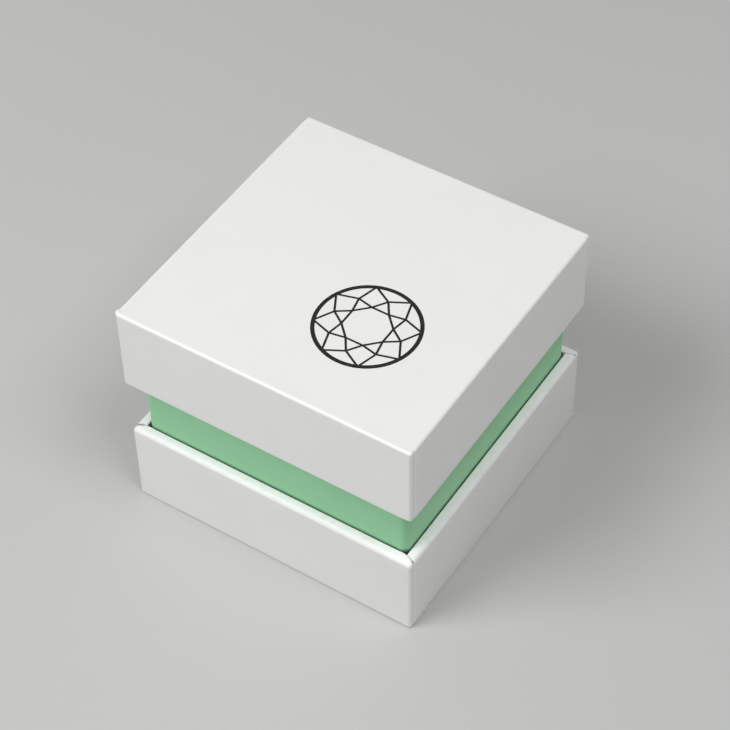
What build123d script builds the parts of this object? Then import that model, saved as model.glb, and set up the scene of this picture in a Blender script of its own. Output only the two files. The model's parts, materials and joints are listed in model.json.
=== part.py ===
from build123d import *
from math import atan2, cos, degrees, radians, sin
import os

# A small shoulder box for jewellery, in millimetres, +Z up. The origin is the middle of the underside.
# The base and the lid are trays of grey board wrapped in white paper, nearly the same outside size.
# A coloured neck stands in the base and rises above its rim. The lid slides down over the neck until
# its ceiling rests on the neck's top edge, so a band of the neck always shows between the two trays.
# Inside the neck a flocked foam insert stands on a card riser and lifts out by a ribbon.

os.makedirs("parts", exist_ok=True)

# Outside sizes
base_side = 59.5  # width and depth; the lid's follow from the neck and its clearance
base_height = 18.3
neck_reveal = 12.0  # the band of neck that shows between the base and the lid
lid_height = 18.1

# Sheet materials
board_thickness = 1.5  # grey board of the base and the lid
neck_board_thickness = 1.0
paper_thickness = 0.13
tape_thickness = 0.08
card_thickness = 0.8
velvet_thickness = 0.5
ribbon_thickness = 0.25
foil_thickness = 0.03

# Glue lines and clearances
glue_line = 0.04
tape_room = 0.10  # between a tray's board and its wrap, where the corner tapes lie
neck_clearance = 0.20  # on each side, from the neck to the base's walls, where it is glued
lid_clearance = 0.45  # on each side, from the neck to the lid's walls, which slide over it
liner_clearance = 0.15  # round the sheet that lines a floor or a ceiling
insert_clearance = 0.60  # round the insert, with room for its ribbon
pad_clearance = 1.5  # from the lid's pad to the inside of the neck
ribbon_gap = 0.02  # under the ribbon, where it lies on the insert

# Folds
corner_radius = 0.7  # upright corners of the trays, outside
fold_radius = 0.5  # paper folded over an outside edge
rim_fold_radius = 0.2  # paper folded over the inside edge of a rim
neck_corner_radius = 1.2
tray_turn_in_gap = 1.2  # from the end of a tray's turned-in paper to the liner of its floor
neck_turn_in = 20.0  # paper turned in below the neck's top edge
neck_joint_gap = 0.15  # where the ends of the neck's board strip meet
tape_leg = 9.0  # each way round a corner
tape_end_gap = 1.0  # from the tape's ends to the ends of the board

# Insert and pad
riser_height = 12.6
riser_corner_gap = 0.3  # between the folded walls at each corner
foam_height = 15.0
foam_edge_radius = 1.0
cover_edge_radius = 1.5
slit_length = 34.0
slit_gap = 1.2
slit_depth = 10.0
ribbon_width = 10.0
ribbon_tab = 14.0  # length that lies on top of the insert
ribbon_tail = 8.0  # length glued down the riser's back
ribbon_bend_radius = 1.0
pad_height = 4.0
pad_corner_radius = 2.0
pad_edge_radius = 0.8

# Foil stamp on the lid, a diagram of a round cut stone seen from above
stamp_diameter = 19.5
stamp_from_right = 21.5  # from the stamp's centre to the lid's +X side
stamp_from_front = 20.4  # from the stamp's centre to the lid's -Y side
stamp_ring_width = 0.75
stamp_line_width = 0.4
table_radius = 4.5  # corners of the flat top facet
star_radius = 6.7  # tips of the facets round it
facet_count = 8

# What follows from the sizes above
overcut = 1.0  # how far a cutting block runs past what it cuts
total_height = base_height + neck_reveal + lid_height
board_inset = paper_thickness + tape_room
floor_height = board_inset + board_thickness + glue_line + paper_thickness
tray_wall = board_inset + board_thickness + glue_line + paper_thickness
neck_wall = neck_board_thickness + 2 * (glue_line + paper_thickness)
base_half = base_side / 2
neck_half = base_half - tray_wall - neck_clearance
lid_half = neck_half + lid_clearance + tray_wall
neck_height = total_height - 2 * floor_height
neck_inner_half = neck_half - neck_wall

base_plane = Plane.XY
lid_plane = Plane(origin=(0, 0, total_height), x_dir=(1, 0, 0), z_dir=(0, 0, -1))
neck_plane = Plane.XY.offset(floor_height)
foam_plane = neck_plane.offset(riser_height + glue_line)


def square_block(plane, half, low, high, corner=0.0, low_edge=0.0, high_edge=0.0):
    """A square block about the plane's normal, from low to high above the plane, with rounded edges."""
    up = Axis(plane.origin, plane.z_dir)
    with BuildPart() as block:
        with BuildSketch(plane.offset(low)) as outline:
            Rectangle(2 * half, 2 * half)
            if corner > 0:
                fillet(outline.vertices(), corner)
        extrude(amount=high - low)
        if low_edge > 0:
            fillet(block.faces().sort_by(up)[0].edges(), low_edge)
        if high_edge > 0:
            fillet(block.faces().sort_by(up)[-1].edges(), high_edge)
    return block.part


def wrap_paper(plane, height, half, corner, wall, turn_in, closed):
    """Paper over the outside of a tray or collar, folded over its rim and turned in down the inside.
    wall is the whole thickness at the rim. A closed wrap covers the side on the plane as well."""
    low_edge = fold_radius if closed else 0.0
    low_inner_edge = fold_radius - paper_thickness if closed else 0.0
    room_low = paper_thickness if closed else -overcut
    outside = square_block(plane, half, 0, height, corner, low_edge, fold_radius)
    room = square_block(
        plane,
        half - paper_thickness,
        room_low,
        height - paper_thickness,
        corner - paper_thickness,
        low_inner_edge,
        fold_radius - paper_thickness,
    )
    flap = square_block(plane, half - wall + paper_thickness, height - turn_in, height - paper_thickness / 2)
    mouth = square_block(plane, half - wall, height - turn_in - overcut, height + overcut)
    up = Axis(plane.origin, plane.z_dir)
    with BuildPart() as wrap:
        add(outside)
        add(room, mode=Mode.SUBTRACT)
        add(flap)
        add(mouth, mode=Mode.SUBTRACT)
        rim = wrap.faces().sort_by(up)[-1]
        fillet(rim.inner_wires()[0].edges(), rim_fold_radius)
    return wrap


def board_tray(plane, height, half):
    """A floor and four walls of grey board, inside the wrap by the paper and the room for the tapes."""
    outer = half - board_inset
    corner = corner_radius - board_inset
    edge = fold_radius - board_inset
    outside = square_block(plane, outer, board_inset, height - board_inset, corner, edge, edge)
    inside = square_block(plane, outer - board_thickness, board_inset + board_thickness, height + overcut)
    with BuildPart() as tray:
        add(outside)
        add(inside, mode=Mode.SUBTRACT)
    return tray


def corner_tapes(plane, height, half):
    """Four strips of tape folded round the upright corners of the board, between board and wrap."""
    outer = half - paper_thickness - (tape_room - tape_thickness) / 2
    low = board_inset + tape_end_gap
    high = height - board_inset - tape_end_gap
    corner = corner_radius - half + outer
    outside = square_block(plane, outer, low, high, corner)
    inside = square_block(plane, outer - tape_thickness, low, high, corner - tape_thickness)
    with BuildPart() as tapes:
        add(outside)
        add(inside, mode=Mode.SUBTRACT)
        with BuildSketch(plane.offset(low)):
            Rectangle(2 * (outer - tape_leg), 4 * outer)
            Rectangle(4 * outer, 2 * (outer - tape_leg))
        extrude(amount=high - low, mode=Mode.SUBTRACT)
    return tapes


def liner_sheet(plane, half):
    """A square of paper glued to the board inside a tray."""
    side = 2 * (half - board_inset - board_thickness - liner_clearance)
    with BuildPart() as liner:
        with BuildSketch(plane.offset(floor_height - paper_thickness)):
            Rectangle(side, side)
        extrude(amount=paper_thickness)
    return liner


def ring_point(radius, turn):
    """The point at that radius, turn facets round from the stamp's +X side."""
    angle = radians(turn * 360 / facet_count)
    return Vector(radius * cos(angle), radius * sin(angle))


# The base and the lid are made alike, the lid upside down.
trays = (("base", base_plane, base_height, base_half), ("lid", lid_plane, lid_height, lid_half))
for name, plane, height, half in trays:
    board = board_tray(plane, height, half)
    board.part.label = f"{name}_board"
    export_step(board.part, f"parts/{name}_board.step")

    tapes = corner_tapes(plane, height, half)
    tapes.part.label = f"{name}_corner_tapes"
    export_step(tapes.part, f"parts/{name}_corner_tapes.step")

    liner = liner_sheet(plane, half)
    liner.part.label = f"{name}_liner"
    export_step(liner.part, f"parts/{name}_liner.step")

base_turn_in = base_height - floor_height - tray_turn_in_gap
base_wrap = wrap_paper(
    base_plane, base_height, base_half, corner_radius, tray_wall, base_turn_in, closed=True
)
base_wrap.part.label = "base_wrap"
export_step(base_wrap.part, "parts/base_wrap.step")


# Foil stamp: a ring, the table facet's outline, the points round it and the lines out to the ring.
stamp_radius = stamp_diameter / 2
ring_middle = stamp_radius - stamp_ring_width / 2
stamp_centre = (lid_half - stamp_from_right, stamp_from_front - lid_half, total_height)
stamp_lines = []
for facet in range(facet_count):
    corner = ring_point(table_radius, facet - 0.5)
    next_corner = ring_point(table_radius, facet + 0.5)
    star_tip = ring_point(star_radius, facet)
    stamp_lines += [(corner, next_corner), (corner, star_tip), (next_corner, star_tip)]
    stamp_lines += [(star_tip, ring_point(ring_middle, facet + side)) for side in (-0.5, 0.5)]
with BuildSketch(Plane(origin=stamp_centre)) as stamp_outline:
    Circle(stamp_radius)
    Circle(stamp_radius - stamp_ring_width, mode=Mode.SUBTRACT)
    for start, end in stamp_lines:
        line = end - start
        with Locations((start + end) / 2):
            slope = degrees(atan2(line.Y, line.X))
            Rectangle(line.length + stamp_line_width / 2, stamp_line_width, rotation=slope)
with BuildPart() as lid_stamp:
    extrude(stamp_outline.sketch, amount=-foil_thickness)
lid_stamp.part.label = "lid_stamp"
export_step(lid_stamp.part, "parts/lid_stamp.step")


# The foil is pressed into the lid's paper, flush with it.
lid_turn_in = lid_height - floor_height - tray_turn_in_gap
lid_paper = wrap_paper(lid_plane, lid_height, lid_half, corner_radius, tray_wall, lid_turn_in, closed=True)
with BuildPart() as lid_wrap:
    add(lid_paper.part)
    extrude(stamp_outline.sketch, amount=-foil_thickness, mode=Mode.SUBTRACT)
lid_wrap.part.label = "lid_wrap"
export_step(lid_wrap.part, "parts/lid_wrap.step")


# Neck: one strip of board bent to a square, its ends meeting at a back corner, wrapped in coloured paper.
neck_board_half = neck_half - paper_thickness - glue_line
neck_board_inner_half = neck_board_half - neck_board_thickness
neck_board_corner = neck_corner_radius - paper_thickness - glue_line
neck_board_height = neck_height - paper_thickness - glue_line
neck_board_edge = fold_radius - paper_thickness - glue_line
neck_outside = square_block(
    neck_plane, neck_board_half, 0, neck_board_height, neck_board_corner, 0, neck_board_edge
)
neck_inside = square_block(neck_plane, neck_board_inner_half, -overcut, neck_board_height + overcut)
joint_x = neck_board_inner_half - neck_joint_gap / 2
joint_y = (neck_board_half + neck_board_inner_half) / 2
with BuildPart() as neck_board:
    add(neck_outside)
    add(neck_inside, mode=Mode.SUBTRACT)
    with BuildSketch(neck_plane):
        with Locations((joint_x, joint_y)):
            Rectangle(neck_joint_gap, 2 * neck_board_thickness)
    extrude(amount=neck_board_height, mode=Mode.SUBTRACT)
neck_board.part.label = "neck_board"
export_step(neck_board.part, "parts/neck_board.step")

neck_wrap = wrap_paper(
    neck_plane, neck_height, neck_half, neck_corner_radius, neck_wall, neck_turn_in, closed=False
)
neck_wrap.part.label = "neck_wrap"
export_step(neck_wrap.part, "parts/neck_wrap.step")


# Riser: a card blank folded down on four sides, open at its corners and below.
insert_half = neck_inner_half - insert_clearance
riser_wall_height = riser_height - card_thickness
riser_outside = square_block(neck_plane, insert_half, 0, riser_height)
riser_inside = square_block(neck_plane, insert_half - card_thickness, -overcut, riser_wall_height)
notch_side = card_thickness + riser_corner_gap
with BuildPart() as insert_riser:
    add(riser_outside)
    add(riser_inside, mode=Mode.SUBTRACT)
    with BuildSketch(neck_plane):
        with GridLocations(2 * insert_half - notch_side, 2 * insert_half - notch_side, 2, 2):
            Rectangle(notch_side, notch_side)
    extrude(amount=riser_wall_height, mode=Mode.SUBTRACT)
insert_riser.part.label = "insert_riser"
export_step(insert_riser.part, "parts/insert_riser.step")


# Foam block with a slit across its middle, wide enough for the cover that is pushed down into it.
foam_half = insert_half - velvet_thickness - glue_line
cover_lap = velvet_thickness + glue_line
foam_block = square_block(foam_plane, foam_half, 0, foam_height, foam_edge_radius, 0, foam_edge_radius)
with BuildPart() as insert_foam:
    add(foam_block)
    with BuildSketch(foam_plane.offset(foam_height)):
        Rectangle(slit_length + 2 * cover_lap, slit_gap + 2 * cover_lap)
    extrude(amount=-(slit_depth + cover_lap), mode=Mode.SUBTRACT)
insert_foam.part.label = "insert_foam"
export_step(insert_foam.part, "parts/insert_foam.step")


# Flocked cover: over the top and down the sides of the foam, with a pocket lining the slit.
cover_height = foam_height + cover_lap
cover_outside = square_block(
    foam_plane, insert_half, 0, cover_height, cover_edge_radius, 0, cover_edge_radius
)
cover_room = square_block(
    foam_plane,
    foam_half + glue_line,
    -overcut,
    foam_height + glue_line,
    foam_edge_radius + glue_line,
    0,
    foam_edge_radius + glue_line,
)
with BuildPart() as insert_cover:
    add(cover_outside)
    add(cover_room, mode=Mode.SUBTRACT)
    with BuildSketch(foam_plane.offset(cover_height)):
        Rectangle(slit_length + 2 * velvet_thickness, slit_gap + 2 * velvet_thickness)
    extrude(amount=-(slit_depth + velvet_thickness + cover_lap))
    with BuildSketch(foam_plane.offset(cover_height)):
        Rectangle(slit_length, slit_gap)
    extrude(amount=-(slit_depth + cover_lap), mode=Mode.SUBTRACT)
insert_cover.part.label = "insert_cover"
export_step(insert_cover.part, "parts/insert_cover.step")


# Pull ribbon: glued to the riser's back, up the back of the insert and forward over its top.
insert_top = floor_height + riser_height + glue_line + cover_height
ribbon_inner_y = insert_half + ribbon_gap
ribbon_outer_y = ribbon_inner_y + ribbon_thickness
ribbon_low = floor_height + riser_height - ribbon_tail
ribbon_under = insert_top + ribbon_gap
ribbon_top = ribbon_under + ribbon_thickness
with BuildPart() as pull_ribbon:
    with BuildSketch(Plane.YZ.offset(-ribbon_width / 2)):
        with BuildLine():
            FilletPolyline(
                (ribbon_outer_y, ribbon_low),
                (ribbon_outer_y, ribbon_top),
                (insert_half - ribbon_tab, ribbon_top),
                radius=ribbon_bend_radius + ribbon_thickness,
            )
            Line((insert_half - ribbon_tab, ribbon_top), (insert_half - ribbon_tab, ribbon_under))
            FilletPolyline(
                (insert_half - ribbon_tab, ribbon_under),
                (ribbon_inner_y, ribbon_under),
                (ribbon_inner_y, ribbon_low),
                radius=ribbon_bend_radius,
            )
            Line((ribbon_inner_y, ribbon_low), (ribbon_outer_y, ribbon_low))
        make_face()
    extrude(amount=ribbon_width)
pull_ribbon.part.label = "pull_ribbon"
export_step(pull_ribbon.part, "parts/pull_ribbon.step")


# Sponge pad glued inside the lid's ceiling. It goes down inside the neck and holds what is in the box.
pad_half = neck_inner_half - pad_clearance
pad_block = square_block(
    lid_plane,
    pad_half,
    floor_height + glue_line,
    floor_height + pad_height,
    pad_corner_radius,
    0,
    pad_edge_radius,
)
with BuildPart() as lid_pad:
    add(pad_block)
lid_pad.part.label = "lid_pad"
export_step(lid_pad.part, "parts/lid_pad.step")
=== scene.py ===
import bmesh
import bpy
import json
import math
import numpy as np
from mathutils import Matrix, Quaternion, Vector


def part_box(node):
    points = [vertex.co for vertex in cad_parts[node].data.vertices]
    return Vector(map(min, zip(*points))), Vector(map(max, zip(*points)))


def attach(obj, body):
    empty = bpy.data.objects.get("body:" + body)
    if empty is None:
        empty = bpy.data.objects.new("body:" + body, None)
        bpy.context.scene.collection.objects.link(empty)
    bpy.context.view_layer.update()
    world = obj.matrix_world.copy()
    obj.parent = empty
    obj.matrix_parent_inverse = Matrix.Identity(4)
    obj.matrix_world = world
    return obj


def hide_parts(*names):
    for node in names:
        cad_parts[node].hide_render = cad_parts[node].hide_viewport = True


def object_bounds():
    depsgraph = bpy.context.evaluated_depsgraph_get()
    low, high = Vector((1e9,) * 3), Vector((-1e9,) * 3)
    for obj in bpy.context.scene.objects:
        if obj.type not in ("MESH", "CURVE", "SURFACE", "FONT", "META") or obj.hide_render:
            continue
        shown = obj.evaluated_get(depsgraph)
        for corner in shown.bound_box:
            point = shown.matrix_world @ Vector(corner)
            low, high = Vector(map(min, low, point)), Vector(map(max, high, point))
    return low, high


# A small rigid gift box for jewellery: paper-wrapped trays over a mint neck, with a flocked insert inside.
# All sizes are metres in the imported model's frame.

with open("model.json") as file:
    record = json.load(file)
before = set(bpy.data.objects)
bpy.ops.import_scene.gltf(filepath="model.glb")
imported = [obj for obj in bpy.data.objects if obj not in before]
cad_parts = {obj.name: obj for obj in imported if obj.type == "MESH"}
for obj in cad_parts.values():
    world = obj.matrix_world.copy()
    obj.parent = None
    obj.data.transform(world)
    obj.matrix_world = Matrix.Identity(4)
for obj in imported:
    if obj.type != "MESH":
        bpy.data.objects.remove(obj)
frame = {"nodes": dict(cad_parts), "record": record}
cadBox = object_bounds()
scene = bpy.context.scene


# Camera

camera = {
    "azimuth": 33.606,
    "elevation": 47.69,
    "roll": -1.249,
    "distance": 0.40956,
    "aim": (0.00084, 0.00095, 0.00009),  # from the middle of the box
    "lens": 111.06,
    "near": 0.01,
}


def placeCamera(values):
    # The camera stands distance back from its aim, along (sin a cos e, -cos a cos e, sin e).
    azimuth = math.radians(values["azimuth"])
    elevation = math.radians(values["elevation"])
    level = math.cos(elevation)
    back = Vector((math.sin(azimuth) * level, -math.cos(azimuth) * level, math.sin(elevation)))
    aim = (cadBox[0] + cadBox[1]) / 2 + Vector(values["aim"])
    lens = bpy.data.cameras.new("camera")
    lens.lens = values["lens"]
    lens.clip_start = values["near"]
    stand = bpy.data.objects.new("camera", lens)
    scene.collection.objects.link(stand)
    stand.rotation_mode = "QUATERNION"
    stand.location = aim + back * values["distance"]
    roll = Quaternion((0, 0, 1), math.radians(values["roll"]))
    stand.rotation_quaternion = (-back).to_track_quat("-Z", "Y") @ roll
    scene.camera = stand


placeCamera(camera)
print("camera placed")


# Lights

studio = {
    "worldColour": (0.96, 0.96, 0.95, 1.0),
    "worldStrength": 0.24,
    "lamps": {
        "keyLamp": {"from": (-0.42, -0.62, 0.80), "far": 0.9, "side": 0.45, "watts": 4.85},
        "topLamp": {"from": (0.5, -0.12, 1.0), "far": 0.9, "side": 0.4, "watts": 3.05},
        "leftLamp": {"from": (-0.9, 0.25, 0.30), "far": 0.9, "side": 0.6, "watts": 0.5},
    },
}


def lightStudio(values):
    # Square lamps that face the middle of the box, over an even pale surround.
    world = bpy.data.worlds.new("studio")
    world.use_nodes = True
    surround = world.node_tree.nodes["Background"]
    surround.inputs["Color"].default_value = values["worldColour"]
    surround.inputs["Strength"].default_value = values["worldStrength"]
    scene.world = world
    middle = (cadBox[0] + cadBox[1]) / 2
    for name, lamp in values["lamps"].items():
        light = bpy.data.lights.new(name, "AREA")
        light.shape = "SQUARE"
        light.size = lamp["side"]
        light.energy = lamp["watts"]
        stand = bpy.data.objects.new(name, light)
        direction = Vector(lamp["from"]).normalized()
        stand.location = middle + direction * lamp["far"]
        stand.rotation_mode = "QUATERNION"
        stand.rotation_quaternion = (-direction).to_track_quat("-Z", "Y")
        scene.collection.objects.link(stand)
    scene.view_settings.view_transform = "Standard"


lightStudio(studio)


# Shader helpers


class Wire:
    # One output of a node. Sums and products of wires and numbers add Math nodes to its tree.
    def __init__(self, finish, socket):
        self.finish = finish
        self.socket = socket

    def maths(self, operation, first, second):
        return self.finish.add("ShaderNodeMath", {"operation": operation}, {0: first, 1: second})

    def __add__(self, other):
        return self.maths("ADD", self, other)

    def __radd__(self, other):
        return self.maths("ADD", other, self)

    def __sub__(self, other):
        return self.maths("SUBTRACT", self, other)

    def __rsub__(self, other):
        return self.maths("SUBTRACT", other, self)

    def __mul__(self, other):
        return self.maths("MULTIPLY", self, other)

    def __rmul__(self, other):
        return self.maths("MULTIPLY", other, self)


class Finish:
    # A material around one Principled shader, with the single way in which its nodes are added.
    def __init__(self, name, **constants):
        self.material = bpy.data.materials.new(name)
        self.material.use_nodes = True
        self.tree = self.material.node_tree
        self.shader = self.tree.nodes["Principled BSDF"]
        for socket, value in constants.items():
            self.shader.inputs[socket.replace("_", " ")].default_value = value

    def add(self, kind, settings, inputs, output=0):
        # A node of one type: its settings first, then the values or wires of its sockets.
        node = self.tree.nodes.new(kind)
        for setting, value in settings.items():
            setattr(node, setting, value)
        for socket, value in inputs.items():
            self.put(node.inputs[socket], value)
        return Wire(self, node.outputs[output])

    def put(self, socket, value):
        if isinstance(value, Wire):
            self.tree.links.new(value.socket, socket)
        else:
            socket.default_value = value

    def finished(self, **wires):
        for socket, value in wires.items():
            self.put(self.shader.inputs[socket.replace("_", " ")], value)
        return self.material


def objectPlace(finish, scale=(1.0, 1.0, 1.0)):
    # Where a point lies on the object; a scale under 1 along an axis draws a pattern out along it.
    place = finish.add("ShaderNodeTexCoord", {}, {}, "Object")
    return finish.add("ShaderNodeMapping", {}, {"Vector": place, "Scale": scale})


def noise(finish, place, scale, detail=3.0, roughness=0.5, distortion=0.0):
    inputs = {"Vector": place, "Scale": scale, "Detail": detail}
    inputs.update({"Roughness": roughness, "Distortion": distortion})
    return finish.add("ShaderNodeTexNoise", {}, inputs)


def steps(finish, value, low, high):
    # 0 below low, 1 above high, straight between them.
    inputs = {"Value": value, "From Min": low, "From Max": high}
    return finish.add("ShaderNodeMapRange", {"clamp": True}, inputs)


def mixed(finish, mask, first, second):
    # first where mask is 0, second where it is 1. Sockets 6 and 7 are the mix node's two colours.
    return finish.add("ShaderNodeMix", {"data_type": "RGBA"}, {0: mask, 6: first, 7: second}, 2)


def bumped(finish, height, distance):
    # distance is how far a height of 1 stands out.
    return finish.add("ShaderNodeBump", {}, {"Height": height, "Distance": distance, "Strength": 1.0})


# Finishes

whitePaperLook = {
    "light": (0.86, 0.86, 0.85, 1.0),
    "dark": (0.838, 0.838, 0.825, 1.0),
    # real wear on the folds, and painted light on the rims and along the seams' edges
    "wornAndPaintedLight": (0.95, 0.95, 0.945, 1.0),
    # painted shade, for creases, seams, the corner pit and the gap at the neck
    "paintedShadeColour": (0.34, 0.33, 0.31, 1.0),
    "roughness": 0.40,
    "tooth": 0.000008,
}
mintPaperLook = {
    "light": (0.30, 0.66, 0.37, 1.0),
    "dark": (0.283, 0.638, 0.352, 1.0),
    "wornAndPaintedLight": (0.52, 0.78, 0.57, 1.0),
    # painted shade, for the gap below the base's rim
    "paintedShadeColour": (0.03, 0.06, 0.035, 1.0),
    "roughness": 0.36,
    "tooth": 0.000006,
}
cardLook = {
    "light": (0.82, 0.82, 0.80, 1.0),
    "dark": (0.75, 0.75, 0.72, 1.0),
    "wornAndPaintedLight": (0.86, 0.85, 0.82, 1.0),
    "paintedShadeColour": (0.40, 0.39, 0.36, 1.0),
    "roughness": 0.62,
    "tooth": 0.00002,
}
paperGrain = {
    "cloudScale": 120.0,  # noise scales are cycles in a metre
    "fibreScale": 2600.0,
    "fibreStretch": (1.0, 1.0, 0.45),
    "swellScale": 700.0,
    "rubScale": 900.0,
    "rubEdge": (0.1, 0.55),
    "rubRoughness": 0.12,
}


def paperFinish(name, look, grain):
    # Paper: clouds of tone 8 mm across, a fine tooth of fibres, folds rubbed a little lighter with painted
    # light on the rims and the seams' edges, and painted shade in creases, seams, the corner pit and gaps.
    # Two marks on the mesh say where the last two are.
    finish = Finish(name, IOR=1.46)
    place = objectPlace(finish)
    clouds = noise(finish, place, grain["cloudScale"], 4.0, 0.55)
    fibres = noise(finish, objectPlace(finish, grain["fibreStretch"]), grain["fibreScale"], 4.0, 0.7, 1.2)
    # Real wear and painted light: this mark lightens the folds as wear, and the rims and the seams' step
    # edges as painted light.
    wearAndPaintedLight = finish.add("ShaderNodeAttribute", {"attribute_name": "wearAndPaintedLight"}, {}, "Fac")
    rubbedAndPaintedLight = wearAndPaintedLight * steps(finish, noise(finish, place, grain["rubScale"], 3.0, 0.6), *grain["rubEdge"])
    tone = mixed(finish, steps(finish, clouds * 0.8 + fibres * 0.2, 0.3, 0.72), look["dark"], look["light"])
    # Painted shade: this mark darkens creases, seams, the corner pit and the gap at the neck.
    paintedShade = finish.add("ShaderNodeAttribute", {"attribute_name": "paintedShade"}, {}, "Fac")
    height = fibres + noise(finish, place, grain["swellScale"], 2.0) * 0.8
    return finish.finished(
        Base_Color=mixed(finish, paintedShade, mixed(finish, rubbedAndPaintedLight, tone, look["wornAndPaintedLight"]), look["paintedShadeColour"]),
        Roughness=fibres * 0.12 + (look["roughness"] - 0.06) + rubbedAndPaintedLight * grain["rubRoughness"],
        Normal=bumped(finish, height, look["tooth"]),
    )


boardLook = {
    "light": (0.43, 0.41, 0.37, 1.0),
    "dark": (0.24, 0.225, 0.20, 1.0),
    "fleck": (0.16, 0.14, 0.12, 1.0),
    "pulpScale": 1400.0,
    "layerScale": 500.0,
    "layerStretch": (1.0, 1.0, 9.0),
    "fleckScale": 2400.0,
    "fleckEdge": (0.66, 0.72),
    "roughness": 0.82,
    "relief": 0.00004,
}


def boardFinish(look):
    # Grey board: pulp flecks light and dark, and layers that show as fine lines on the cut edges.
    finish = Finish("greyBoard", IOR=1.4)
    place = objectPlace(finish)
    pulp = noise(finish, place, look["pulpScale"], 5.0, 0.7, 1.5)
    layers = noise(finish, objectPlace(finish, look["layerStretch"]), look["layerScale"], 2.0)
    flecks = steps(finish, noise(finish, place, look["fleckScale"], 2.0), *look["fleckEdge"])
    tone = mixed(finish, steps(finish, pulp * 0.7 + layers * 0.3, 0.3, 0.7), look["dark"], look["light"])
    return finish.finished(
        Base_Color=mixed(finish, flecks, tone, look["fleck"]),
        Roughness=pulp * 0.1 + look["roughness"],
        Normal=bumped(finish, pulp + layers, look["relief"]),
    )


tapeLook = {
    "light": (0.60, 0.44, 0.27, 1.0),
    "dark": (0.40, 0.27, 0.15, 1.0),
    "strandScale": 1800.0,
    "strandStretch": (0.25, 0.25, 2.0),
    "roughness": 0.42,
    "relief": 0.00001,
}


def tapeFinish(look):
    # Kraft tape: long brown fibres round the corner, slightly shiny.
    finish = Finish("kraftTape", IOR=1.45)
    strands = noise(finish, objectPlace(finish, look["strandStretch"]), look["strandScale"], 5.0, 0.7, 0.8)
    return finish.finished(
        Base_Color=mixed(finish, steps(finish, strands, 0.3, 0.7), look["dark"], look["light"]),
        Roughness=strands * 0.15 + look["roughness"],
        Normal=bumped(finish, strands, look["relief"]),
    )


velvetLook = {
    "light": (0.90, 0.90, 0.89, 1.0),
    "dark": (0.80, 0.80, 0.785, 1.0),
    "brushScale": 160.0,
    "pileScale": 4200.0,
    "roughness": 0.85,
    "relief": 0.0001,
}


def velvetFinish(look):
    # Flock: short upright fibres, a fine grain with brushed patches painted lighter and darker as painted
    # sheen and shade of the pile.
    finish = Finish("whiteVelvet", Sheen_Weight=0.55, Sheen_Roughness=0.4, IOR=1.35)
    place = objectPlace(finish)
    brushed = noise(finish, place, look["brushScale"], 3.0, 0.6, 0.6)
    pile = noise(finish, place, look["pileScale"], 3.0, 0.8)
    pileSheenAndShade = steps(finish, brushed * 0.35 + pile * 0.65, 0.3, 0.7)
    return finish.finished(
        Base_Color=mixed(finish, pileSheenAndShade, look["dark"], look["light"]),
        Roughness=pile * 0.1 + look["roughness"],
        Normal=bumped(finish, pile + brushed * 0.5, look["relief"]),
    )


padSpongeLook = {
    "light": (0.88, 0.88, 0.87, 1.0),
    "dark": (0.70, 0.70, 0.69, 1.0),
    "cellScale": 1900.0,
    "relief": 0.00012,
}
insertSpongeLook = {
    "light": (0.84, 0.83, 0.80, 1.0),
    "dark": (0.66, 0.65, 0.62, 1.0),
    "cellScale": 2200.0,
    "relief": 0.00012,
}


def spongeFinish(name, look):
    # Open-cell foam: round cells, their hollows painted darker than the threads between them as painted
    # shade.
    finish = Finish(name, Roughness=0.9, IOR=1.35)
    place = objectPlace(finish)
    warp = noise(finish, place, look["cellScale"] * 0.6, 2.0)
    cell = {"Vector": place, "Scale": look["cellScale"]}
    distance = finish.add("ShaderNodeTexVoronoi", {"feature": "F1"}, cell, "Distance")
    threadHeightAndPoreShade = steps(finish, distance + warp * 0.25, 0.20, 0.85)
    return finish.finished(
        Base_Color=mixed(finish, threadHeightAndPoreShade, look["dark"], look["light"]),
        Normal=bumped(finish, threadHeightAndPoreShade, look["relief"]),
    )


ribbonLook = {
    "light": (0.94, 0.94, 0.93, 1.0),
    "dark": (0.80, 0.80, 0.785, 1.0),
    "ribPitch": 0.00055,
    "threadPitch": 0.00022,
    "selvedge": (0.0044, 0.0046),  # from the middle line, where the ribs stop
    "cloudScale": 500.0,
    "roughness": 0.42,
    "relief": 0.00006,
}


def ribbonFinish(look):
    # Grosgrain: ribs across the width, warp threads along it, and flat woven edges.
    finish = Finish("whiteRibbon", Sheen_Weight=0.3, Sheen_Roughness=0.35, IOR=1.45)
    spot = finish.add("ShaderNodeUVMap", {"uv_map": "weave"}, {})
    across = finish.add("ShaderNodeSeparateXYZ", {}, {0: spot}, 0)
    along = finish.add("ShaderNodeSeparateXYZ", {}, {0: spot}, 1)
    rib = finish.add("ShaderNodeMath", {"operation": "SINE"}, {0: along * (2 * math.pi / look["ribPitch"])})
    turns = across * (2 * math.pi / look["threadPitch"])
    thread = finish.add("ShaderNodeMath", {"operation": "SINE"}, {0: turns})
    distance = finish.add("ShaderNodeMath", {"operation": "ABSOLUTE"}, {0: across})
    edge = steps(finish, distance, *look["selvedge"])
    weave = (rib * 0.8 + thread * 0.2) * (1 - edge) + thread * edge * 0.4
    cloudy = noise(finish, objectPlace(finish), look["cloudScale"], 3.0)
    # Painted shade of the weave: ribs and threads painted lighter and darker in their grooves, over a
    # random cloudy tone.
    lit = steps(finish, weave * 0.4 + cloudy, 0.0, 1.1)
    return finish.finished(
        Base_Color=mixed(finish, lit, look["dark"], look["light"]),
        Roughness=look["roughness"] + cloudy * 0.15,
        Normal=bumped(finish, weave, look["relief"]),
    )


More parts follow.
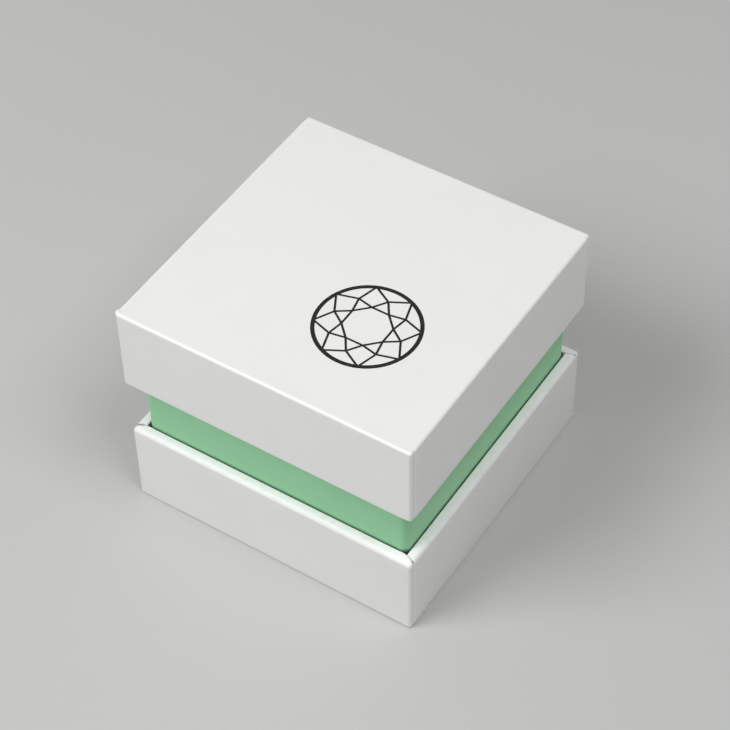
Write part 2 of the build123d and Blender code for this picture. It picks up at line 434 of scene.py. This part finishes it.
foilLook = {
    "light": (0.018, 0.019, 0.018, 1.0),
    "dark": (0.009, 0.010, 0.009, 1.0),
    "paper": (0.40, 0.40, 0.39, 1.0),
    "grainScale": 3000.0,
    "holeScale": 5200.0,
    "holeEdge": (0.70, 0.74),
    "roughness": 0.30,
    "relief": 0.000006,
}


def foilFinish(look):
    # Black foil pressed on paper: even and satin, with pinholes where the paper shows through.
    finish = Finish("blackFoil", IOR=1.5)
    place = objectPlace(finish)
    grain = noise(finish, place, look["grainScale"], 4.0, 0.7)
    pinholes = steps(finish, noise(finish, place, look["holeScale"], 2.0), *look["holeEdge"])
    ink = mixed(finish, steps(finish, grain, 0.3, 0.7), look["dark"], look["light"])
    return finish.finished(
        Base_Color=mixed(finish, pinholes, ink, look["paper"]),
        Roughness=grain * 0.2 + look["roughness"] + pinholes * 0.2,
        Normal=bumped(finish, grain, look["relief"]),
    )


finishes = {
    "white_paper": paperFinish("whitePaper", whitePaperLook, paperGrain),
    "mint_paper": paperFinish("mintPaper", mintPaperLook, paperGrain),
    "white_card": paperFinish("whiteCard", cardLook, paperGrain),
    "grey_board": boardFinish(boardLook),
    "kraft_tape": tapeFinish(tapeLook),
    "white_velvet": velvetFinish(velvetLook),
    "white_sponge": spongeFinish("whiteSponge", padSpongeLook),
    "insert_foam": spongeFinish("insertFoam", insertSpongeLook),
    "white_ribbon": ribbonFinish(ribbonLook),
    "black_foil": foilFinish(foilLook),
}
print("finishes made")


# Surfaces

mergeDistance = 0.000001
sharpAngle = math.radians(50)


def loopDirections(sideSteps, cornerSteps, crowding):
    # Columns round a square, counterclockwise. A point of a loop is square * reach + turn * radius, where
    # square lies on a square of half side 1 and turn is the unit direction that rounds its corner.
    # On half a side the columns crowd towards the corner as sinh(crowding * s) / sinh(crowding).
    fromCorner = np.sinh(crowding * np.linspace(0, 1, sideSteps)) / math.sinh(crowding)
    along = np.concatenate([fromCorner - 1, (1 - fromCorner)[::-1][1:]])[:, None]
    arc = np.linspace(0, math.pi / 2, cornerSteps + 1)[1:-1, None]
    columns = []
    for quarter in range(4):
        angle = quarter * math.pi / 2
        normal = np.array([math.cos(angle), math.sin(angle)])
        tangent = np.array([-math.sin(angle), math.cos(angle)])
        columns.append(np.hstack([normal + along * tangent, 0 * along + normal]))
        rounded = normal * np.cos(arc) + tangent * np.sin(arc)
        columns.append(np.hstack([0 * arc + normal + tangent, rounded]))
    columns = np.vstack(columns)
    return columns[:, :2], columns[:, 2:]


def carried(square, turn, rows):
    # Each row (reachX, reachY, radius, z) is a loop: square * reach + turn * radius, at height z.
    flat = rows[:, None, :2] * square + rows[:, None, 2:3] * turn
    high = np.broadcast_to(rows[:, None, 3:4], flat.shape[:2] + (1,))
    return np.concatenate([flat, high], axis=2)


def stretch(start, end, facing, count, ease=1.0):
    # Profile rows start + (end - start) * (1 - (1 - s) ** ease), all facing one way.
    share = 1 - (1 - np.linspace(0, 1, count)[:, None]) ** ease
    place = np.array(start) + (np.array(end) - np.array(start)) * share
    return np.hstack([place, np.tile(facing, (count, 1))])


def bend(centre, radius, first, last, count):
    # Profile rows round an arc: centre + radius * (cos, sin), facing along the radius.
    angle = np.radians(np.linspace(first, last, count))[1:-1]
    facing = np.column_stack([np.cos(angle), np.sin(angle)])
    return np.hstack([np.array(centre) + radius * facing, facing])


def ripple(points, wavelength, seed):
    # Unevenness from -1 to 1: the mean of eight sine waves of about that length, in directions drawn once.
    draw = np.random.default_rng(seed)
    direction = draw.normal(size=(8, 3))
    direction /= np.linalg.norm(direction, axis=1, keepdims=True)
    pitch = 2 * math.pi / wavelength * draw.uniform(0.7, 1.4, (8, 1))
    phase = draw.uniform(0, 2 * math.pi, 8)
    return np.sin(points @ (direction * pitch).T + phase).mean(axis=-1)


def rise(value, low, high):
    # Smooth step: 0 below low, 1 above high, 3t^2 - 2t^3 between.
    share = np.clip((value - low) / (high - low), 0, 1)
    return share * share * (3 - 2 * share)


def hill(value, width):
    # A bell curve, exp(-(value / width)^2).
    return np.exp(-((value / width) ** 2))


def pieceFromGrid(name, points, body, slot, replaced, ring=False, flip=False, marks=None):
    # Quads between neighbouring rows and columns; columns close on themselves, and rows do if ring is set.
    # Rows that shrink to a point or a line are closed by merging what falls together.
    index = np.arange(points.shape[0] * points.shape[1]).reshape(points.shape[:2])
    index = np.vstack([index, index[:1]]) if ring else index
    index = np.hstack([index, index[:, :1]])
    quads = np.stack([index[:-1, :-1], index[:-1, 1:], index[1:, 1:], index[1:, :-1]], axis=-1)
    quads = quads.reshape(-1, 4)
    quads = quads[:, ::-1] if flip else quads
    mesh = bpy.data.meshes.new(name)
    mesh.from_pydata(points.reshape(-1, 3).tolist(), [], quads.tolist())
    for mark, value in (marks or {}).items():
        attribute = mesh.attributes.new(mark, "FLOAT", "POINT")
        attribute.data.foreach_set("value", value.astype(np.float32).ravel())
    shell = bmesh.new()
    shell.from_mesh(mesh)
    bmesh.ops.remove_doubles(shell, verts=shell.verts, dist=mergeDistance)
    shell.to_mesh(mesh)
    shell.free()
    mesh.shade_smooth()
    mesh.set_sharp_from_angle(angle=sharpAngle)
    return addPiece(name, mesh, body, slot, replaced)


def addPiece(name, mesh, body, slot, replaced):
    # An object at the origin that rides on its body and is seen in place of a carried-over node.
    piece = bpy.data.objects.new(name, mesh)
    scene.collection.objects.link(piece)
    mesh.materials.append(finishes[slot])
    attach(piece, body)
    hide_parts(replaced)
    return piece


# Paper wraps

paperThickness = 0.00008
innerCorner = 0.00005  # the least rounding of an inside corner
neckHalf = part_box("neck_wrap")[1].x
boxTop = cadBox[1].z
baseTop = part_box("base_wrap")[1].z

wrapColumns = {"sideSteps": 60, "cornerSteps": 10, "crowding": 4.8}

trayPaper = {  # what both trays share
    "corner": 0.0007,
    "turnInGap": 0.0012,
    "waviness": 0.00002,
    "swell": 0.016,  # length of the waves
    "calmEdge": 0.003,  # the waves fade out over this, towards the folds
    "panelEase": 5,  # fold radii over which the panel sinks
    "seamFromCorner": 0.0012,
    "seamDepth": 0.00011,
    "seamSlope": 0.00014,
    "seamShade": {"before": 0.0001, "width": 0.00007, "strength": 0.38},
    # painted highlight along the seam's step edge
    "seamHighlight": 0.00015,
    "mitreShade": 0.6,
    "pitWidth": 0.00022,
    "pitFromSide": 0.0009,
    "pitReach": 0.0005,
    "pitShadeDepth": 0.0003,
    "gapShadeStart": 0.0002,  # below the rim
    "gapShadeEnd": 0.0005,
    "dipReach": 0.002,
    "earWidth": 0.0005,
    "earLength": (0.0010, 0.0013),
    "earHeight": 0.0006,
    "earLean": 0.6,
    "nubReach": 0.0005,
    "nubHeight": 0.0003,
}
lidPaperValues = {
    **trayPaper,
    "fold": 0.00055,
    "rimOuterFold": 0.0007,
    "rimFold": 0.0002,
    "gapToNeck": 0.00045,
    "panelSink": 0.000027,
    "mitreWidth": 0.00011,
    "mitreDepth": (0.00010, 0.00012, 0.00010, 0.00012),  # front left, front right, back right, back left
    "pitDepth": 0.0,
    "beadHeight": 0.00003,
    "gapShadeStrength": 0.0,
    "dip": -0.00025,
    "ear": 0.00038,
    "nub": 0.0,
    "seed": 3,
}
basePaperValues = {
    **trayPaper,
    "fold": 0.0005,
    "rimOuterFold": 0.00095,
    "rimFold": 0.00024,
    "gapToNeck": 0.00013,
    "panelSink": 0.00003,
    "mitreWidth": 0.00013,
    "mitreDepth": (0.00012, 0.00018, 0.00010, 0.00013),
    "pitDepth": 0.00045,
    "beadHeight": 0.00007,
    "gapShadeStrength": 1.0,
    "dip": 0.0,
    "ear": 0.0,
    "nub": 0.00038,
    "seed": 8,
}
neckPaperValues = {
    "corner": 0.0015,
    "fold": 0.0005,
    "rimFold": 0.0002,
    "gapToInsert": 0.0006,
    "turnIn": 0.020,
    "waviness": 0.00004,
    "swell": 0.014,
    "seamFromCorner": 0.004,
    "seamDepth": 0.00009,
    "seamSlope": 0.0001,
    "gapShadeStart": 0.0002,  # below the base's rim
    "gapShadeEnd": 0.0005,
    "seed": 21,
}


def rimProfile(height, fold, rimFold, wall, turnIn):
    # From the outer face over the rim: fold, flat, smaller fold, then down the inside by turnIn.
    return [
        bend((fold, height - fold), fold, 180, 90, 9),
        stretch((fold, height), (wall - rimFold, height), (0, 1), 7),
        bend((wall - rimFold, height - rimFold), rimFold, 90, 0, 7),
        stretch((wall, height - rimFold), (wall, height - turnIn), (1, 0), 9),
    ]


def wrapRows(profile, half, corner):
    # A profile row lies inset from the outer face: reach is half - inset - radius, and the corner's radius
    # is smaller by the inset.
    inset = profile[:, :1]
    radius = np.minimum(np.maximum(corner - inset, innerCorner), half - inset)
    reach = half - inset - radius
    return np.hstack([reach, reach, radius, profile[:, 1:2]])


def facings(profile, turn):
    # The unit facing of each point: -facingInset along turn, and facingHeight up.
    across = -profile[:, None, 2:3] * turn
    up = np.broadcast_to(profile[:, None, 3:4], across.shape[:2] + (1,))
    return np.concatenate([across, up], axis=2)


def foldWear(profile):
    # 1 where the profile faces halfway between sideways and up or down, 0 on its flats.
    return 4 * (profile[:, 2:3] * profile[:, 3:4]) ** 2


def skinned(outside, facing, marks):
    # A closed skin: the outside rows, then the same rows backwards, one paper's thickness in. The marks
    # are on the outside only.
    inside = outside - facing * paperThickness
    painted = {mark: np.concatenate([value, 0 * value]) for mark, value in marks.items()}
    return np.concatenate([outside, inside[::-1]]), painted


def atCorners(x, y, frontLeft, frontRight, backRight, backLeft):
    return np.where(x < 0, np.where(y < 0, frontLeft, backLeft), np.where(y < 0, frontRight, backRight))


def trayRelief(points, profile, turn, half, height, wall, values):
    # How far the paper stands out of the plain wrap, along its face, where it is darkened by painted shade,
    # and where it is rubbed lighter, as real wear on the folds and as painted light on the rim and seams.
    # Beside each corner a strip slopes in to a seam, where the next sheet's edge steps out again. On the
    # rim a crease runs from the seam to the inside corner, with a bead beside it, and at one corner it
    # gapes.
    # The panel is sunk between its folds, and the sides are a little wavy.
    x, y, high = points[..., 0], points[..., 1], points[..., 2]
    outward = -profile[:, 2:3]
    rim = np.clip(profile[:, 3:4], 0, 1)
    panel = np.clip(-profile[:, 3:4], 0, 1)
    seamSide = np.clip(outward, 0, 1) * turn[:, 0] ** 2
    fromSide, fromCorner = half - np.abs(x), half - np.abs(y)
    seam, slope, mitre = values["seamFromCorner"], values["seamSlope"], values["mitreWidth"]
    strip = np.clip(fromCorner / seam, 0, 1) * (1 - rise(fromCorner, seam, seam + slope))
    relief = -seamSide * strip * values["seamDepth"]
    lean = 1 - seam / wall
    across = (fromCorner - seam - lean * fromSide) / math.hypot(1, lean)
    line = hill(across, mitre)
    relief -= rim * atCorners(x, y, *values["mitreDepth"]) * line
    relief += rim * values["beadHeight"] * hill(across + 3 * mitre, 2 * mitre)
    gape = hill(across, values["pitWidth"]) * hill(fromSide - values["pitFromSide"], values["pitReach"])
    pit = atCorners(x, y, values["pitDepth"], 0, 0, 0) * gape
    relief -= rim * pit
    inset = half - np.maximum(np.abs(x), np.abs(y))
    sunk = rise(inset, values["fold"], values["panelEase"] * values["fold"])
    relief -= panel * values["panelSink"] * sunk
    uneven = ripple(points, values["swell"], values["seed"]) * 0.5 + 0.5
    fromFolds = rise(height / 2 - np.abs(high - height / 2), 0, values["calmEdge"])
    relief -= np.abs(outward) * values["waviness"] * uneven * fromFolds
    # Painted shade: darker along the mitre crease, just beside the seam's step, and in the corner pit.
    shade = values["seamShade"]
    seamLine = hill(fromCorner - seam + shade["before"], shade["width"])
    paintedShade = rim * line * values["mitreShade"] + seamSide * seamLine * shade["strength"]
    # Painted shade on the inward faces just below the rim, where the gap to the neck is shaded.
    gapShade = np.clip(-outward, 0, 1) * rise(height - high, values["gapShadeStart"], values["gapShadeEnd"])
    paintedShade = paintedShade + pit / values["pitShadeDepth"] + values["gapShadeStrength"] * gapShade
    # Real wear on the folds, painted light over the rim, and a painted highlight just past the seam's step.
    wearAndPaintedLight = foldWear(profile) + rim + seamSide * hill(fromCorner - seam - slope, values["seamHighlight"])
    return relief, {"wearAndPaintedLight": np.clip(wearAndPaintedLight, 0, 1), "paintedShade": np.clip(paintedShade, 0, 1)}


def cornerMarks(points, half, height, values):
    # What age did to the corners: the front right one sags by dip, the front left fold stands up as an
    # ear, and a nub sticks out at the back right foot.
    x, y, up = points[..., 0], points[..., 1], points[..., 2]
    sag = values["dip"] * hill(np.hypot(x - half, y + half), values["dipReach"]) * (up / height) ** 8
    ear = values["ear"] * hill(x + half, values["earWidth"]) * hill(up, values["earHeight"])
    ear = ear * (1 - rise(y + half, *values["earLength"]))
    reach = values["nubReach"]
    nub = values["nub"] * hill(np.hypot(x - half, y - half), reach) * hill(up - values["nubHeight"], reach)
    return np.stack([nub - values["earLean"] * ear, nub, sag - ear], axis=2)


def wrappedTray(name, node, liner, body, values):
    # The panel from its middle, over a fold, up the side and over the rim. It is worked out as a tray that
    # stands on z = 0, and the lid's is turned upside down by z = top - height.
    low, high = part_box(node)
    linerLow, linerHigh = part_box(liner)
    lid = body == "lid"
    half = high.x
    height = high.z - low.z
    floorHeight = boxTop - linerLow.z if lid else linerHigh.z
    fold = values["fold"]
    rimFold = values["rimOuterFold"]
    wall = half - neckHalf - values["gapToNeck"]
    turnIn = height - floorHeight - values["turnInGap"]
    tray = [
        stretch((half, 0), (fold, 0), (0, -1), 18, 1.8),
        bend((fold, fold), fold, 270, 180, 9),
        stretch((0, fold), (0, height - rimFold), (-1, 0), 20),
    ]
    profile = np.vstack(tray + rimProfile(height, rimFold, values["rimFold"], wall, turnIn))
    square, turn = loopDirections(**wrapColumns)
    points = carried(square, turn, wrapRows(profile, half, values["corner"]))
    facing = facings(profile, turn)
    relief, marks = trayRelief(points, profile, turn, half, height, wall, values)
    outside = points + facing * relief[..., None] + cornerMarks(points, half, height, values)
    shell, marks = skinned(outside, facing, marks)
    if lid:
        shell[..., 2] = boxTop - shell[..., 2]
    return pieceFromGrid(name, shell, body, "white_paper", node, flip=lid, marks=marks)


def wrappedNeck(name, node, body, values):
    # The same rim over an open collar, with the paper's overlap as a step on the back face. Its face is
    # painted darker just below the base's rim, as painted shade in the gap between them.
    low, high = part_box(node)
    half = high.x
    height = high.z - low.z
    fold = values["fold"]
    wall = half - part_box("insert_cover")[1].x - values["gapToInsert"]
    rim = rimProfile(height, fold, values["rimFold"], wall, values["turnIn"])
    profile = np.vstack([stretch((0, 0), (0, height - fold), (-1, 0), 40)] + rim)
    square, turn = loopDirections(**wrapColumns)
    points = carried(square, turn, wrapRows(profile, half, values["corner"]))
    facing = facings(profile, turn)
    outward = -profile[:, 2:3]
    front = np.clip(outward, 0, 1)
    uneven = ripple(points, values["swell"], values["seed"]) * 0.5 + 0.5
    relief = -np.abs(outward) * values["waviness"] * uneven
    seam = half - values["seamFromCorner"]
    lap = rise(points[..., 0], seam - values["seamSlope"], seam)
    relief = relief - front * values["seamDepth"] * lap * np.clip(turn[:, 1], 0, 1)
    outside = points + facing * relief[..., None] + np.array([0, 0, low.z])
    # Painted shade: darker on the outer face just below the base's rim, where the gap is shaded.
    gapShade = rise(baseTop - outside[..., 2], values["gapShadeStart"], values["gapShadeEnd"]) * front
    shell, marks = skinned(outside, facing, {"wearAndPaintedLight": foldWear(profile) + 0 * relief, "paintedShade": gapShade})
    return pieceFromGrid(name, shell, body, "mint_paper", node, ring=True, marks=marks)


wrappedTray("lidPaper", "lid_wrap", "lid_liner", "lid", lidPaperValues)
wrappedTray("basePaper", "base_wrap", "base_liner", "base", basePaperValues)
wrappedNeck("neckPaper", "neck_wrap", "base", neckPaperValues)
print("paper wraps made")


# Insert

insertColumns = {"sideSteps": 26, "cornerSteps": 10, "crowding": 1.6}

insertValues = {
    "edgeRadius": 0.0015,
    "cornerShare": 0.35,  # how much of edgeRadius the corners keep on top
    "slitHalfLength": 0.017,
    "slitHalfGap": 0.0004,
    "slitDepth": 0.0098,
    "slitFoot": 0.0004,
    "lipRadius": 0.0011,
    "lipShrink": 0.4,  # of the inset, in the layers below
    "lipDip": 0.0007,
    "lipReach": 0.0035,
    "topDrop": 0.00004,
    "velvet": 0.0005,
    "glueLine": 0.00004,
    "unevenness": 0.00007,
    "swell": 0.012,  # length of the unevenness
    "pile": 0.00003,
    "tuft": 0.0011,  # length of the pile's own unevenness
    "seeds": (5, 6),
    "footCalm": (0.001, 0.004),  # above the underside
    "topCalm": (0.004, 0.001),  # below the top
}


def cushionRows(half, low, top, values, inset):
    # Loops from the line at the slit's bottom up its walls, over its lips, across the top, over the outer
    # edge and down the side. reach goes from the slit's half size to the block's, and inset is how far the
    # surface lies inside the cover's own.
    gap = values["slitHalfGap"] + inset
    length = values["slitHalfLength"] + inset
    lip = values["lipRadius"] - values["lipShrink"] * inset
    edge = values["edgeRadius"] - inset
    corner = values["cornerShare"]
    foot = values["slitFoot"]
    reach = half - inset - edge
    top = top - inset
    bottom = top - values["slitDepth"]
    lipTop = top - values["lipDip"]
    rows = [(length, 0, 0, bottom)]
    rows += [(length, gap * share, 0, bottom + foot * share) for share in (0.5, 1.0)]
    rows += [(length, gap, 0, z) for z in np.linspace(bottom + 2 * foot, lipTop - lip, 14)]
    for angle in np.radians(np.linspace(10, 90, 9)):
        rows.append((length, gap, lip * (1 - math.cos(angle)), lipTop - lip * (1 - math.sin(angle))))
    for share in np.linspace(0, 1, 30)[1:] ** 1.4:
        away = share * (reach - gap)
        dip = values["lipDip"] * math.exp(-((away / values["lipReach"]) ** 2))
        spread = lip + (edge * corner - lip) * share
        rows.append((length + (reach - length) * share, gap + away, spread, top - dip))
    for angle in np.radians(np.linspace(0, 90, 10)):
        spread = edge * (corner + (1 - corner) * math.sin(angle))
        rows.append((reach, reach, spread, top - edge * (1 - math.cos(angle))))
    rows += [(reach, reach, edge, z) for z in np.linspace(top - edge, low, 18)[1:]]
    return np.array(rows)


def flockedCover(values):
    # The cushion's skin with a lining one velvet inside it. The skin is pressed in by two waves of
    # unevenness, down on the top and towards the middle on the sides, and not at all at the foot.
    low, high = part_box("insert_cover")
    square, turn = loopDirections(**insertColumns)
    top = high.z - values["topDrop"]
    skin = carried(square, turn, cushionRows(high.x, low.z, top, values, 0))
    lining = carried(square, turn, cushionRows(high.x, low.z, top, values, values["velvet"]))
    swellSeed, tuftSeed = values["seeds"]
    soft = (ripple(skin, values["swell"], swellSeed) - 1) * values["unevenness"]
    soft = soft + (ripple(skin, values["tuft"], tuftSeed) - 1) * values["pile"]
    away = skin - np.array([0, 0, low.z])
    away /= np.linalg.norm(away, axis=2, keepdims=True)
    footEnd, footStart = values["footCalm"]
    topStart, topEnd = values["topCalm"]
    offFoot = rise(skin[..., 2], low.z + footEnd, low.z + footStart)
    onTop = rise(skin[..., 2], top - topStart, top - topEnd)
    skin[..., 2] += soft * onTop
    skin[..., :2] += away[..., :2] * (soft * offFoot * (1 - onTop))[..., None]
    shell = np.concatenate([skin, lining[::-1]])
    piece = pieceFromGrid("insertCover", shell, "insert", "white_velvet", "insert_cover")


def foamBlock(values):
    # The same cushion one velvet and a glue line inside, closed below by rows that shrink to a point.
    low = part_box("insert_foam")[0]
    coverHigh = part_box("insert_cover")[1]
    square, turn = loopDirections(**insertColumns)
    inset = values["velvet"] + values["glueLine"]
    rows = cushionRows(coverHigh.x, low.z, coverHigh.z - values["topDrop"], values, inset)
    under = rows[-1] * np.linspace(1, 0, 8)[1:, None]
    under[:, 3] = low.z
    block = carried(square, turn, np.vstack([rows, under]))
    piece = pieceFromGrid("insertFoam", block, "insert", "insert_foam", "insert_foam")


ribbonValues = {
    "thickness": 0.00022,
    "halfThickness": 0.000125,  # of the space that holds it
    "bendRadius": 0.001125,
    "curl": 0.0010,
    "curlLength": 0.0075,
    "cup": 0.00012,
    "cupStart": (0.003, 0.008),  # along the ribbon, from the bend
}


def pullRibbon(values):
    # The line runs up the back, round a quarter circle and forward over the top, where its end curls up
    # as curl * s^2. Across its width it cups a little, as cup * (2x / width)^2.
    low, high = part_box("pull_ribbon")
    backY = high.y - values["halfThickness"]
    topZ = high.z - values["halfThickness"]
    radius = values["bendRadius"]
    up = np.linspace(low.z, topZ - radius, 34)
    arc = np.radians(np.linspace(0, 90, 12))[1:-1]
    forward = np.linspace(backY - radius, low.y, 40)
    curl = values["curl"] * np.clip(1 - (forward - low.y) / values["curlLength"], 0, 1) ** 2
    lineY = np.concatenate([0 * up + backY, backY - radius + radius * np.cos(arc), forward])
    lineZ = np.concatenate([up, topZ - radius + radius * np.sin(arc), topZ + curl])
    travelled = np.concatenate([[0], np.cumsum(np.hypot(np.diff(lineY), np.diff(lineZ)))])
    across = np.linspace(low.x, high.x, 21)
    x = 0 * lineY[:, None] + across
    bendAt = up[-1] - up[0]
    cupFrom, cupFull = values["cupStart"]
    onTop = rise(travelled, bendAt + cupFrom, bendAt + cupFull)[:, None]
    cup = values["cup"] * (across / high.x) ** 2 * onTop
    points = np.stack([x, lineY[:, None] + 0 * x, lineZ[:, None] + cup], axis=2)
    index = np.arange(x.size).reshape(x.shape)
    quads = np.stack([index[:-1, :-1], index[1:, :-1], index[1:, 1:], index[:-1, 1:]], axis=-1)
    mesh = bpy.data.meshes.new("pullRibbon")
    mesh.from_pydata(points.reshape(-1, 3).tolist(), [], quads.reshape(-1, 4).tolist())
    weave = mesh.uv_layers.new(name="weave")
    corners = np.zeros(len(mesh.loops), np.int32)
    mesh.loops.foreach_get("vertex_index", corners)
    spots = np.stack([x, travelled[:, None] + 0 * x], axis=2).reshape(-1, 2)
    weave.data.foreach_set("uv", spots[corners].astype(np.float32).ravel())
    mesh.shade_smooth()
    piece = addPiece("pullRibbon", mesh, "insert", "white_ribbon", "pull_ribbon")
    cloth = piece.modifiers.new("thickness", "SOLIDIFY")
    cloth.thickness = values["thickness"]
    cloth.offset = 0


flockedCover(insertValues)
foamBlock(insertValues)
pullRibbon(ribbonValues)
print("insert made")


# Pad in the lid

padColumns = {"sideSteps": 22, "cornerSteps": 10, "crowding": 1.4}
padValues = {
    "corner": 0.002,
    "topEdge": 0.0003,
    "lowEdge": 0.0009,
    "pinch": 0.00025,
    "unevenness": 0.00006,
    "swell": 0.013,
    "seed": 11,
}


def lidPad(values):
    # A die-cut sponge: flat where it is glued to the ceiling, sides drawn in by pinch at half height, and a
    # rounded lower edge. Its rows run from the middle of its lower face, up the side, to the middle above.
    low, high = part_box("lid_pad")
    half = high.x
    depth = high.z - low.z
    edge = values["lowEdge"]
    top = values["topEdge"]
    profile = np.vstack(
        [
            stretch((half, 0), (edge, 0), (0, -1), 24, 1.5),
            bend((edge, edge), edge, 270, 180, 9),
            stretch((0, edge), (0, depth - top), (-1, 0), 12),
            bend((top, depth - top), top, 180, 90, 6),
            stretch((top, depth), (half, depth), (0, 1), 10),
        ]
    )
    height = profile[:, 1]
    profile[:, 0] += values["pinch"] * np.sin(math.pi * height / depth) * (profile[:, 0] < half / 2)
    profile[:, 0] = np.minimum(profile[:, 0], half)
    square, turn = loopDirections(**padColumns)
    points = carried(square, turn, wrapRows(profile, half, values["corner"]))
    below = rise(depth - points[..., 2], 0, depth / 2)
    points[..., 2] += (1 - ripple(points, values["swell"], values["seed"])) * values["unevenness"] * below
    points[..., 2] += low.z
    piece = pieceFromGrid("lidPad", points, "lid", "white_sponge", "lid_pad")


lidPad(padValues)
print("pad made")


# Finishes of the carried-over pieces, and the floor

for subpart in frame["record"]["subparts"]:
    node = frame["nodes"][subpart["node"]]
    node.data.materials.clear()
    node.data.materials.append(finishes[subpart["material_slot"]])

floorValues = {
    "reach": 3.0,
    "drop": 0.00005,  # below the box's underside
    "light": (0.56, 0.56, 0.555, 1.0),
    "dark": (0.53, 0.53, 0.525, 1.0),
    "cloudScale": 6.0,
}


def paleFloor(values):
    finish = Finish("paleFloor", Roughness=0.7, IOR=1.45)
    clouds = noise(finish, objectPlace(finish), values["cloudScale"], 3.0)
    reach = values["reach"]
    height = cadBox[0].z - values["drop"]
    mesh = bpy.data.meshes.new("floor")
    corners = [(x * reach, y * reach, height) for x, y in ((-1, -1), (1, -1), (1, 1), (-1, 1))]
    mesh.from_pydata(corners, [], [(0, 1, 2, 3)])
    tone = mixed(finish, clouds, values["dark"], values["light"])
    mesh.materials.append(finish.finished(Base_Color=tone))
    floor = bpy.data.objects.new("floor", mesh)
    scene.collection.objects.link(floor)


paleFloor(floorValues)
print("floor laid")
